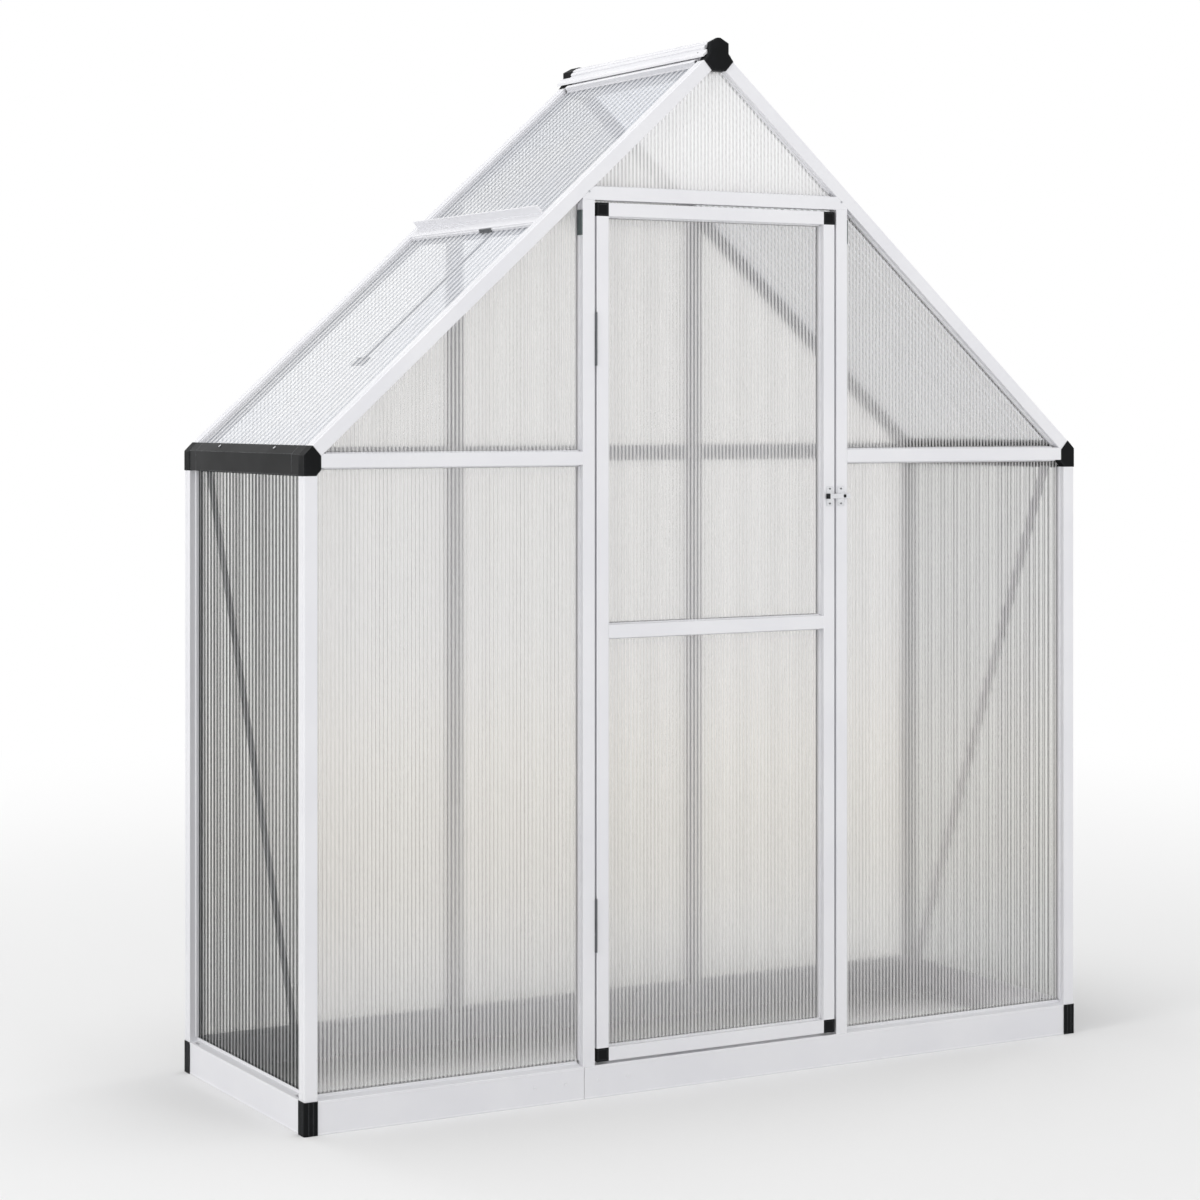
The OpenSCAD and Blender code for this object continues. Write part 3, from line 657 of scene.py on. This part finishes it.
@dataclass(frozen=True)
class ScrewHead:
    """Pan head with a cross recess, undercut so that a thin line shows round it.

    Attributes:
        radius: its radius.
        height: its height.
        spokes: how many steps the form takes round.
        rings: where its rings lie, as shares of the radius.
        recess_reach: how far out the cross goes, as a share of the radius.
        recess_half: half the width of the cross's arms, as a share of the radius.
        recess_depth: how deep the cross is, as a share of the height.
        neck: the radius under the head, as a share of the head's.
        neck_rise: how high the neck starts, as a share of the height.
        dome: how round the top is; at 1 it falls to the seat at the rim.
        sunk: how deep the neck goes into its seat.
    """

    radius: float = 3.3 * MM
    height: float = 1.4 * MM
    spokes: int = 24
    rings: tuple[float, ...] = (0.2, 0.36, 0.52, 0.62, 0.8, 0.93, 1.0)
    recess_reach: float = 0.6
    recess_half: float = 0.15
    recess_depth: float = 0.6
    neck: float = 0.78
    neck_rise: float = 0.35
    dome: float = 0.85
    sunk: float = 0.3 * MM

    def level(self, share: float, turn: float) -> float:
        """Gives the height of the dome or of the recess in it.

        Args:
            share: the distance from the middle, as a share of the radius.
            turn: the angle round the middle.

        Returns:
            The height above the seat.
        """
        dome = self.height * math.sqrt(1 - (self.dome * share) ** 2)
        across = share * min(abs(math.cos(turn)), abs(math.sin(turn)))
        in_recess = share < self.recess_reach and across < self.recess_half
        return dome - self.height * self.recess_depth if in_recess else dome

    def add(self, form: bmesh.types.BMesh, place: Sequence[float], out: Sequence[float]) -> None:
        """Adds the head to a form.

        Args:
            form: the form that takes it.
            place: the middle of its seat.
            out: the direction that it faces.
        """
        turns = [math.tau * i / self.spokes for i in range(self.spokes)]
        grid = [[(share, turn, self.level(share, turn)) for turn in turns] for share in self.rings]
        grid.append([(self.neck, turn, self.neck_rise * self.height) for turn in turns])
        grid.append([(self.neck, turn, -self.sunk) for turn in turns])
        stand = Vector(out).to_track_quat("Z", "Y").to_matrix().to_4x4()
        stand.translation = Vector(place)
        rings = [[form.verts.new(stand @ Vector((self.radius * share * math.cos(turn),
                                                 self.radius * share * math.sin(turn), level)))
                  for share, turn, level in ring] for ring in grid]
        middle = form.verts.new(stand @ Vector((0, 0, self.level(0.0, 0.0))))
        for i in range(self.spokes):
            j = (i + 1) % self.spokes
            form.faces.new((middle, rings[0][i], rings[0][j]))
            for inner, outer in zip(rings, rings[1:]):
                form.faces.new((inner[i], outer[i], outer[j], inner[j]))
        form.faces.new(rings[-1][::-1])


@dataclass(frozen=True)
class Bar:
    """Straight bar of any outline with softened edges.

    Attributes:
        outline: the corners of one end.
        span: the way from them to the other end.
        soft: the width of the softened edges.
    """

    outline: tuple[tuple[float, float, float], ...]
    span: tuple[float, float, float]
    soft: float

    def add(self, form: bmesh.types.BMesh) -> None:
        """Adds the bar to a form.

        Args:
            form: the form that takes it.
        """
        lower = [form.verts.new(Vector(point)) for point in self.outline]
        upper = [form.verts.new(Vector(point) + Vector(self.span)) for point in self.outline]
        faces = [form.faces.new(lower[::-1]), form.faces.new(upper)]
        for i, corner in enumerate(lower):
            j = (i + 1) % len(lower)
            faces.append(form.faces.new((corner, lower[j], upper[j], upper[i])))
        edges = {edge for face in faces for edge in face.edges}
        bmesh.ops.bevel(form, geom=list(edges), offset=self.soft, segments=2, profile=0.6, affect="EDGES")


@dataclass
class Bench:
    """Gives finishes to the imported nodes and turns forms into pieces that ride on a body.

    Attributes:
        nodes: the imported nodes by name.
        made: the materials so far by name.
        crease: the angle from which an edge stays sharp.
    """

    nodes: dict[str, bpy.types.Object]
    made: dict[str, bpy.types.Material] = field(default_factory=dict)
    crease: float = math.radians(38)

    def material(self, finish: Finish) -> bpy.types.Material:
        """Makes a finish once and gives it again afterwards.

        Args:
            finish: the finish to make.

        Returns:
            Its material.
        """
        if finish.name not in self.made:
            self.made[finish.name] = finish.make()
        return self.made[finish.name]

    def dress(self, finish: Finish, *names: str) -> None:
        """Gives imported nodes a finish.

        Args:
            finish: their finish.
            *names: the nodes' names.
        """
        for name in names:
            mesh = self.nodes[name].data
            mesh.materials.clear()
            mesh.materials.append(self.material(finish))
            LOG.info("dressed %s in %s", name, finish.name)

    def piece(self, name: str, form: bmesh.types.BMesh, finish: Finish, slot: Slot, body: Body) -> None:
        """Makes a piece of a form and lets it ride on a body.

        Args:
            name: the piece's name.
            form: its form, which is used up.
            finish: its finish.
            slot: the finish in the record that it goes with; not used.
            body: the body that it rides on.
        """
        bmesh.ops.recalc_face_normals(form, faces=form.faces)
        for face in form.faces:
            face.smooth = True
        for edge in form.edges:
            edge.smooth = edge.calc_face_angle(0.0) < self.crease
        mesh = bpy.data.meshes.new(name)
        form.to_mesh(mesh)
        form.free()
        mesh.materials.append(self.material(finish))
        piece = bpy.data.objects.new(name, mesh)
        bpy.context.scene.collection.objects.link(piece)
        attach(piece, body.value)
        LOG.info("made %s on %s: %d faces", name, body.value, len(mesh.polygons))

    def screws(self, name: str, head: ScrewHead, places: Iterable[tuple], finish: Finish, slot: Slot,
               body: Body) -> None:
        """Makes one piece of several screw heads.

        Args:
            name: the piece's name.
            head: the kind of head.
            places: for each screw the middle of its seat and the direction that it faces.
            finish: the screws' finish.
            slot: the finish in the record that they go with.
            body: the body that they ride on.
        """
        form = bmesh.new()
        for place, out in places:
            head.add(form, place, out)
        self.piece(name, form, finish, slot, body)


@dataclass
class Base:
    """Base boards and their corner joints, with a pair of screws each side of the front seam.

    Attributes:
        bench: where it is made.
        screw_x: the screws' places along the front.
        screw_z: their height.
        head: the kind of head.
    """

    bench: Bench
    screw_x: tuple[float, ...] = (-0.441, -0.369, -0.293, -0.221)
    screw_z: float = 0.037
    head: ScrewHead = ScrewHead(radius=3.4 * MM)

    def build(self) -> None:
        """Dresses the boards and joints and sets the screws."""
        self.bench.dress(WHITE_COAT, "base_front_left", "base_front_right", "base_back", "base_sides")
        self.bench.dress(BLACK_MOULDING, "base_joints")
        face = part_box("base_front_left")[0][1]
        places = [((x, face, self.screw_z), FRONT) for x in self.screw_x]
        self.bench.screws("base_screws", self.head, places, WHITE_COAT, Slot.BRIGHT, Body.HOUSE)


@dataclass
class Walls:
    """Posts, jambs, header, rails, braces and the sheets between them.

    Attributes:
        bench: where it is made.
        header_screws: the place along the front and the height of each screw.
        head: the kind of head.
    """

    bench: Bench
    header_screws: tuple[tuple[float, float], ...] = ((-0.313, 1.870), (0.313, 1.870))
    head: ScrewHead = ScrewHead(radius=2.4 * MM, height=0.9 * MM)

    def build(self) -> None:
        """Dresses the walls and sets the screws that hold the header to the jambs."""
        self.bench.dress(WHITE_COAT, "posts_front", "posts_back", "jamb_left", "jamb_right", "header",
                         "rail_front_left", "rail_front_right", "back_uprights", "rails_back",
                         "wall_braces")
        self.bench.dress(BRACKET_COAT, "jamb_brackets")
        self.bench.dress(WALL_SHEET, "sheets_front_left", "sheets_front_right", "sheet_gable",
                         "sheets_back")
        self.bench.dress(SIDE_SHEET, "sheet_left", "sheet_right")
        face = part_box("header")[0][1]
        places = [((x, face, z), FRONT) for x, z in self.header_screws]
        self.bench.screws("header_screws", self.head, places, SCREW_STEEL, Slot.BRIGHT, Body.HOUSE)


@dataclass
class Roof:
    """Rafters, ridge, eave beams, vent and roof sheets.

    Attributes:
        bench: where it is made.
        pitch: the slope's angle.
        screw_share: where the eave screws stand, as a share of the half depth.
        screw_down: how far they stand below the eave edge.
        eave_head: the kind of head on the eave beams.
        ridge_head: the kind of head on the crown.
        crown_screw: the place of the right one of the crown's screws.
        bar: the width of the cross bar.
        catch_y: the ends of the vent's catch along the ridge.
        catch_top: its top over the tops of the rafters.
        catch_depth: how far it hangs down.
        catch_lip: how wide its folded lip is.
        catch_t: its thickness.
        catch_soft: the width of its softened edges.
    """

    bench: Bench
    pitch: float = math.radians(42)
    screw_share: float = 0.5
    screw_down: float = 9.0 * MM
    eave_head: ScrewHead = ScrewHead(radius=3.6 * MM, height=1.6 * MM)
    ridge_head: ScrewHead = ScrewHead(radius=3.0 * MM, height=1.4 * MM)
    crown_screw: tuple[float, float, float] = (0.026, -0.279, 2.1755)
    bar: float = 28.0 * MM
    catch_y: tuple[float, float] = (-0.098, -0.042)
    catch_top: float = -1.5 * MM
    catch_depth: float = 7.0 * MM
    catch_lip: float = 5.0 * MM
    catch_t: float = 2.0 * MM
    catch_soft: float = 0.5 * MM

    def at(self, along: float, y: float, above: float) -> Vector:
        """Gives a point on the left slope, measured from its eave edge.

        Args:
            along: the distance up the slope.
            y: the place along the ridge.
            above: the height over the tops of the rafters.

        Returns:
            The point.
        """
        foot_x = -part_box("rafters_back")[1][0]
        foot_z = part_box("eave_beams")[1][2]
        return Vector((foot_x + along * math.cos(self.pitch) - above * math.sin(self.pitch), y,
                       foot_z + along * math.sin(self.pitch) + above * math.cos(self.pitch)))

    def eave_screws(self) -> None:
        """Sets two screws on the sloping face of each eave beam."""
        out = Vector((-math.sin(self.pitch), 0, math.cos(self.pitch)))
        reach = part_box("eave_beams")[1][1] * self.screw_share
        left = [(self.at(-self.screw_down, y, 0.0), out) for y in (-reach, reach)]
        right = [(Vector((-p.x, p.y, p.z)), Vector((-o.x, o.y, o.z))) for p, o in left]
        self.bench.screws("eave_screws", self.eave_head, left + right, BRIGHT_ZINC, Slot.BRIGHT,
                          Body.HOUSE)

    def ridge_screws(self) -> None:
        """Sets a black screw on each side of the crown, just behind the front joint."""
        x, y, z = self.crown_screw
        places = [((side * x, y, z), (side, 0, 0)) for side in (-1, 1)]
        self.bench.screws("ridge_screws", self.ridge_head, places, BLACK_MOULDING, Slot.PLASTIC, Body.HOUSE)

    def vent_catch(self) -> None:
        """Hangs the folded catch plate of the vent's stay on the lower face of the cross bar."""
        back = self.at_bar()
        front, lip = (back - self.catch_t, back - self.catch_lip)
        near, far = self.catch_y
        top, bottom = (self.catch_top, self.catch_top - self.catch_depth)
        inner = bottom + self.catch_t
        outline = [(back, top), (back, bottom), (lip, bottom), (lip, inner), (front, inner), (front, top)]
        points = tuple(tuple(self.at(along, near, above)) for along, above in outline)
        form = bmesh.new()
        Bar(points, (0, far - near, 0), self.catch_soft).add(form)
        self.bench.piece("vent_catch", form, HINGE_COAT, Slot.HINGE, Body.HOUSE)

    def at_bar(self) -> float:
        """Gives the distance from the eave edge to the lower face of the cross bar."""
        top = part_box("roof_cross_bar")[1][2]
        return (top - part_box("eave_beams")[1][2]) / math.sin(self.pitch) - self.bar

    def build(self) -> None:
        """Dresses the roof and adds its small parts."""
        self.bench.dress(WHITE_COAT, "rafter_front_left", "rafter_front_right", "rafters_back",
                         "ridge_beam", "roof_cross_bar", "vent_bars", "top_bar_right")
        self.bench.dress(BLACK_MOULDING, "ridge_joints", "eave_joints")
        self.bench.dress(BLACK_COAT, "eave_beams")
        self.bench.dress(ROOF_SHEET, "sheet_roof_left", "sheet_roof_right", "vent_sheet")
        self.bench.dress(STAY_STEEL, "vent_stay")
        self.eave_screws()
        self.ridge_screws()
        self.vent_catch()


@dataclass
class Door:
    """Door frame with its corners, sheets and hinges.

    Attributes:
        bench: where it is made.
    """

    bench: Bench

    def build(self) -> None:
        """Dresses the door and its hinges."""
        self.bench.dress(WHITE_COAT, "door_stiles", "door_rails")
        self.bench.dress(BLACK_MOULDING, "door_corners")
        self.bench.dress(WALL_SHEET, "door_sheets")
        self.bench.dress(HINGE_COAT, "door_hinges", "jamb_hinges")


@dataclass
class Latch:
    """Slide bolt with its guide and keeper, their screws, the bolt's black knob and a black plug of painted
    shade in its eye.

    Attributes:
        bench: where it is made.
        screw_rise: how far the screws stand above and below the middle.
        plate_t: the thickness of the guide and of the keeper.
        head: the kind of head.
        knob_w: the knob's width.
        knob_h: its height.
        knob_out: how far it stands out of the bolt.
        knob_over: how far it reaches past the bolt's end.
        knob_sunk: how deep it sits in the bolt.
        knob_soft: the width of its softened edges.
        grips: how many ribs its face has.
        grip: how high they are.
        grip_shape: where a rib has risen, starts to fall and has fallen, as shares of its step.
        eye_shade_from_tip: how far from the bolt's tip the square eye reaches.
        eye_shade_side: the side of the eye.
        eye_shade_play: the gap round the plug of painted shade.
        eye_shade_soft: the width of its softened edges.
    """

    bench: Bench
    screw_rise: float = 0.016
    plate_t: float = 1.2 * MM
    head: ScrewHead = ScrewHead(radius=2.1 * MM, height=1.0 * MM)
    knob_w: float = 7.6 * MM
    knob_h: float = 11.0 * MM
    knob_out: float = 6.0 * MM
    knob_over: float = 1.5 * MM
    knob_sunk: float = 0.2 * MM
    knob_soft: float = 0.1 * MM
    grips: int = 5
    grip: float = 0.7 * MM
    grip_shape: tuple[float, float, float] = (0.15, 0.7, 0.85)
    eye_shade_from_tip: float = 18.0 * MM
    eye_shade_side: float = 7.0 * MM
    eye_shade_play: float = 0.15 * MM
    eye_shade_soft: float = 0.5 * MM

    def plate_screws(self) -> None:
        """Sets two screws in the guide and two in the keeper, in a dark grey that paints the shade round
        their heads.
        """
        for node, body in (("latch_plate", Body.DOOR), ("latch_keeper", Body.HOUSE)):
            low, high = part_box(node)
            x, z = ((low[0] + high[0]) / 2, (low[2] + high[2]) / 2)
            face = high[1] - self.plate_t
            places = [((x, face, z + rise), FRONT) for rise in (-self.screw_rise, self.screw_rise)]
            # The screws are real; their dark hinge coat is painted shade round their heads.
            self.bench.screws(f"{node}_screws", self.head, places, HINGE_COAT, Slot.HINGE, body)

    def knob(self) -> None:
        """Builds the thumb knob on the bolt's inner end, ribbed across its face."""
        low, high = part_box("latch_bolt")
        left = low[0] - self.knob_over
        right = left + self.knob_w
        back, face = (low[1] + self.knob_sunk, low[1] - self.knob_out)
        rise, end, foot = self.grip_shape
        outline = [(left, back), (left, face + self.grip)]
        for i in range(self.grips):
            step = self.knob_w / self.grips
            start = left + i * step
            outline += [(start + rise * step, face), (start + end * step, face),
                        (start + foot * step, face + self.grip)]
        outline += [(right, face + self.grip), (right, back)]
        middle = (low[2] + high[2]) / 2
        points = tuple((x, y, middle - self.knob_h / 2) for x, y in outline)
        form = bmesh.new()
        Bar(points, (0, 0, self.knob_h), self.knob_soft).add(form)
        self.bench.piece("latch_knob", form, BLACK_MOULDING, Slot.PLASTIC, Body.BOLT)

    def painted_eye_shade(self) -> None:
        """Fills the square eye near the bolt's tip with a flush black plug, which is painted shade where
        the eye looks dark.
        """
        low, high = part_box("latch_bolt")
        play = self.eye_shade_play
        left = high[0] - self.eye_shade_from_tip + play
        middle = (low[2] + high[2]) / 2
        half = self.eye_shade_side / 2 - play
        right = left + 2 * half
        face = low[1] + play
        outline = ((left, face, middle - half), (right, face, middle - half),
                   (right, face, middle + half), (left, face, middle + half))
        # Painted shade: a black plug fills the eye, which is dark only for the shade in it.
        form = bmesh.new()
        Bar(outline, (0, high[1] - low[1] - 2 * play, 0), self.eye_shade_soft).add(form)
        self.bench.piece("latch_painted_eye_shade", form, BLACK_MOULDING, Slot.PLASTIC, Body.BOLT)

    def build(self) -> None:
        """Dresses the latch and adds its small parts."""
        self.bench.dress(BRIGHT_ZINC, "latch_plate", "latch_bolt", "latch_keeper")
        self.plate_screws()
        self.knob()
        self.painted_eye_shade()


@dataclass
class Studio:
    """Plain pale studio: floor, world, lamps and the camera.

    Attributes:
        lens: the camera's focal length in millimetres.
        eye: the camera's place.
        turn: its heading in degrees.
        rise: its vertical shift, as a share of the width.
        world_level: how strongly the world lights, where it shows as 1.
        inner_level: how strongly it lights what lies behind a sheet.
        room: half the width and half the depth of the room inside.
        room_fade: how wide the soft ends of the painted light on its floor are.
        room_sill: half the width of that light's soft start at the door wall.
        room_reach: where that light ends, as a share of the half depth.
        room_level: its level at the door wall.
        floor_radius: the floor's radius.
        floor_colour: the floor's colour, in display levels.
        floor_fade: the distances between which the floor turns white.
        bounces: how many bounces of light are followed.
        aim: the point that the lamps face.
        lamp_side: the side of a lamp.
        lamps: the name, the place and the power in watts of each lamp.
    """

    lens: float = 85.52
    eye: tuple[float, float, float] = (-3.1777, -5.4483, 1.4205)
    turn: float = -29.4
    rise: float = -0.1588
    world_level: float = 0.62
    inner_level: float = 0.8
    room: tuple[float, float] = (0.93, 0.30)
    room_fade: float = 0.05
    room_sill: float = 0.01
    room_reach: float = 0.7
    room_level: float = 0.86
    floor_radius: float = 60.0
    floor_colour: tuple[float, float, float] = (238, 238, 238)
    floor_fade: tuple[float, float] = (1.6, 6.0)
    bounces: int = 20
    aim: tuple[float, float, float] = (0.0, 0.0, 1.0)
    lamp_side: float = 3.5
    lamps: tuple[tuple[str, tuple[float, float, float], float], ...] = (
        ("front", (1.5, -7.0, 3.6), 98.0),
        ("left", (-7.5, -1.5, 3.0), 165.0),
        ("right", (7.0, 1.5, 3.0), 80.0),
        ("back", (-1.5, 7.0, 3.6), 100.0),
        ("top", (-0.5, -0.5, 7.5), 118.0),
    )

    def camera(self) -> None:
        """Places the camera level, looking at the door wall from the left."""
        data = bpy.data.cameras.new("view")
        data.lens = self.lens
        data.shift_y = self.rise
        camera = bpy.data.objects.new("view", data)
        camera.location = self.eye
        camera.rotation_euler = (math.radians(90), 0, math.radians(self.turn))
        bpy.context.scene.collection.objects.link(camera)
        bpy.context.scene.camera = camera

    def world(self) -> None:
        """Makes an even white world that lights less than it shows."""
        world = bpy.data.worlds.new("studio")
        bpy.context.scene.world = world
        world.use_nodes = True
        nodes = NodeTree(world.node_tree)
        light = nodes.add("ShaderNodeBackground")
        light.inputs["Color"].default_value = (1, 1, 1, 1)
        path = nodes.add("ShaderNodeLightPath")
        seen = nodes.math("MAXIMUM", path.outputs["Is Camera Ray"],
                          nodes.math("MAXIMUM", path.outputs["Is Glossy Ray"],
                                     path.outputs["Is Transmission Ray"]))
        direct = nodes.math("SUBTRACT", 1.0, nodes.math("MINIMUM", path.outputs["Diffuse Depth"], 1.0))
        shown = nodes.math("MULTIPLY", seen, direct)
        level = nodes.math("ADD", self.world_level, nodes.math("MULTIPLY", shown, 1 - self.world_level))
        through = nodes.math("MULTIPLY", path.outputs["Is Transmission Ray"],
                             nodes.math("SUBTRACT", 1.0, direct))
        gain = self.inner_level - self.world_level
        level = nodes.math("ADD", level, nodes.math("MULTIPLY", through, gain))
        nodes.put(level, light.inputs["Strength"])
        out = nodes.add("ShaderNodeOutputWorld")
        nodes.put(light.outputs[0], out.inputs["Surface"])

    def lamp(self, name: str, place: Sequence[float], power: float) -> None:
        """Adds a soft square lamp that faces the greenhouse.

        Args:
            name: the lamp's name.
            place: where it stands.
            power: its power in watts.
        """
        data = bpy.data.lights.new(name, "AREA")
        data.size = self.lamp_side
        data.energy = power
        lamp = bpy.data.objects.new(name, data)
        lamp.location = place
        lamp.rotation_euler = (Vector(self.aim) - Vector(place)).to_track_quat("-Z", "Y").to_euler()
        lamp.visible_camera = False
        lamp.visible_transmission = False
        lamp.visible_glossy = False
        bpy.context.scene.collection.objects.link(lamp)

    def painted_daylight(self, nodes: NodeTree, place: bpy.types.NodeSocket) -> bpy.types.NodeSocket:
        """Gives the painted pool of light on the floor of the room, where light falls through the door
        wall.

        Args:
            nodes: the floor's tree.
            place: the coordinates.

        Returns:
            Its level, which falls from the door wall to the back wall.
        """
        x, y, _ = nodes.split(place)
        half_x, half_y = self.room
        sill = self.room_sill
        across = nodes.remap(nodes.math("ABSOLUTE", x), half_x - self.room_fade, half_x, 1.0, 0.0)
        inside = nodes.remap(y, -half_y - sill, -half_y + sill, 0.0, self.room_level)
        along = nodes.remap(y, -half_y, self.room_reach * half_y, 1.0, 0.0)
        return nodes.math("MULTIPLY", nodes.math("MULTIPLY", across, inside), along)

    def floor(self) -> None:
        """Lays a pale floor that keeps the shadow, fades to white further out and glows with a painted pool
        of light inside the room.
        """
        mesh = bpy.data.meshes.new("floor")
        form = bmesh.new()
        bmesh.ops.create_circle(form, cap_ends=True, segments=96, radius=self.floor_radius)
        form.to_mesh(mesh)
        form.free()
        floor = bpy.data.objects.new("floor", mesh)
        bpy.context.scene.collection.objects.link(floor)
        mat = bpy.data.materials.new("pale_floor")
        mat.use_nodes = True
        nodes = NodeTree(mat.node_tree)
        place = nodes.place()
        far = nodes.add("ShaderNodeVectorMath", operation="LENGTH")
        nodes.put(place, far.inputs[0])
        # The floor glows white further out and with a painted pool of light inside the room.
        share = nodes.math("MAXIMUM", nodes.remap(far.outputs["Value"], *self.floor_fade, 0.0, 1.0),
                           self.painted_daylight(nodes, place))
        ground = nodes.add("ShaderNodeBsdfDiffuse")
        ground.inputs["Color"].default_value = srgb(*self.floor_colour)
        white = nodes.add("ShaderNodeEmission")
        white.inputs["Strength"].default_value = 1.0
        mix = nodes.add("ShaderNodeMixShader")
        nodes.put(share, mix.inputs[0])
        nodes.put(ground.outputs[0], mix.inputs[1])
        nodes.put(white.outputs[0], mix.inputs[2])
        nodes.surface(mix.outputs[0])
        mesh.materials.append(mat)

    def build(self) -> None:
        """Builds the whole studio."""
        view = bpy.context.scene.view_settings
        view.view_transform = "Standard"
        light_paths = bpy.context.scene.cycles
        light_paths.max_bounces = self.bounces
        light_paths.transmission_bounces = self.bounces
        self.camera()
        self.world()
        self.floor()
        for name, place, power in self.lamps:
            self.lamp(name, place, power)


def main() -> None:
    """Builds the studio and then the greenhouse, sub-assembly by sub-assembly."""
    logging.basicConfig(level=logging.INFO, format="%(message)s")
    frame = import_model()
    Studio().build()
    bench = Bench(frame["nodes"])
    for assembly in (Base(bench), Walls(bench), Roof(bench), Door(bench), Latch(bench)):
        LOG.info("building %s", type(assembly).__name__)
        assembly.build()


if __name__ == "__main__":
    main()
